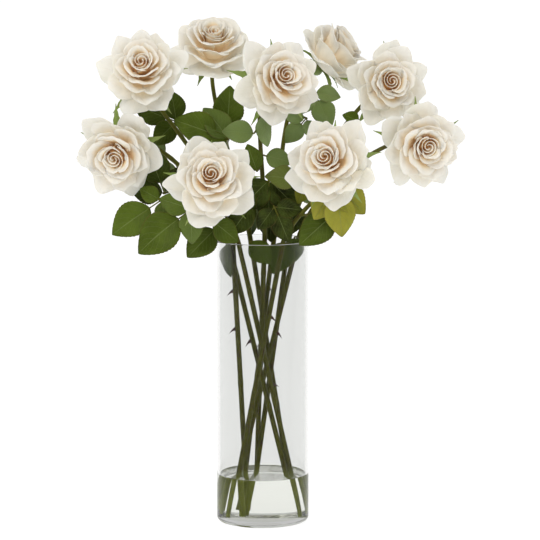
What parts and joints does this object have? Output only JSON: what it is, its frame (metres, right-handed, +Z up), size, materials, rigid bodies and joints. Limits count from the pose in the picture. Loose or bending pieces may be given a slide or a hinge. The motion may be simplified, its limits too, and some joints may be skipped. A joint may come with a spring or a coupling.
{
  "type": "glass cylinder vase with faux rose arrangement",
  "caption": "Tall clear glass cylinder vase with faux ivory roses, leafy stems and thorns, set in a shallow layer of cast clear resin that looks like water.",
  "frame": {"origin": "centre of the vase's flat resting face", "axes": "+Z up along the vase's axis, -Y towards the front of the arrangement, +X to the right as seen from the front"},
  "size_m": [0.405, 0.228, 0.5386],
  "materials": {
    "clear_glass": "clear, fire-polished",
    "clear_resin": "clear, cast",
    "steel_wire": "drawn wire",
    "stem": "satin, ribbed, streaked brown",
    "calyx": "satin",
    "outer_petal": "printed soft touch, ivory",
    "inner_petal": "printed soft touch, cream",
    "petal_heart": "printed soft touch, peach",
    "leaf": "printed, waxed face, veined"
  },
  "bodies": {
    "root": {"glass_vase": "clear_glass", "cast_resin": "clear_resin", "stem_wires": "steel_wire", "rose_1_stem": "stem", "rose_1_calyx": "calyx", "rose_1_outer_petals": "outer_petal", "rose_1_inner_petals": "inner_petal", "rose_1_bud": "petal_heart", "rose_1_leaves": "leaf", "rose_2_stem": "stem", "rose_2_calyx": "calyx", "rose_2_outer_petals": "outer_petal", "rose_2_inner_petals": "inner_petal", "rose_2_bud": "petal_heart", "rose_2_leaves": "leaf", "rose_3_stem": "stem", "rose_3_calyx": "calyx", "rose_3_outer_petals": "outer_petal", "rose_3_inner_petals": "inner_petal", "rose_3_bud": "petal_heart", "rose_3_leaves": "leaf", "rose_4_stem": "stem", "rose_4_calyx": "calyx", "rose_4_outer_petals": "outer_petal", "rose_4_inner_petals": "inner_petal", "rose_4_bud": "petal_heart", "rose_4_leaves": "leaf", "rose_5_stem": "stem", "rose_5_calyx": "calyx", "rose_5_outer_petals": "outer_petal", "rose_5_inner_petals": "inner_petal", "rose_5_bud": "petal_heart", "rose_5_leaves": "leaf", "rose_6_stem": "stem", "rose_6_calyx": "calyx", "rose_6_outer_petals": "outer_petal", "rose_6_inner_petals": "inner_petal", "rose_6_bud": "petal_heart", "rose_6_leaves": "leaf", "rose_7_stem": "stem", "rose_7_calyx": "calyx", "rose_7_outer_petals": "outer_petal", "rose_7_inner_petals": "inner_petal", "rose_7_bud": "petal_heart", "rose_7_leaves": "leaf", "rose_8_stem": "stem", "rose_8_calyx": "calyx", "rose_8_outer_petals": "outer_petal", "rose_8_inner_petals": "inner_petal", "rose_8_bud": "petal_heart", "rose_8_leaves": "leaf", "rose_9_stem": "stem", "rose_9_calyx": "calyx", "rose_9_outer_petals": "outer_petal", "rose_9_inner_petals": "inner_petal", "rose_9_bud": "petal_heart", "rose_9_leaves": "leaf"}
  },
  "joints": []
}
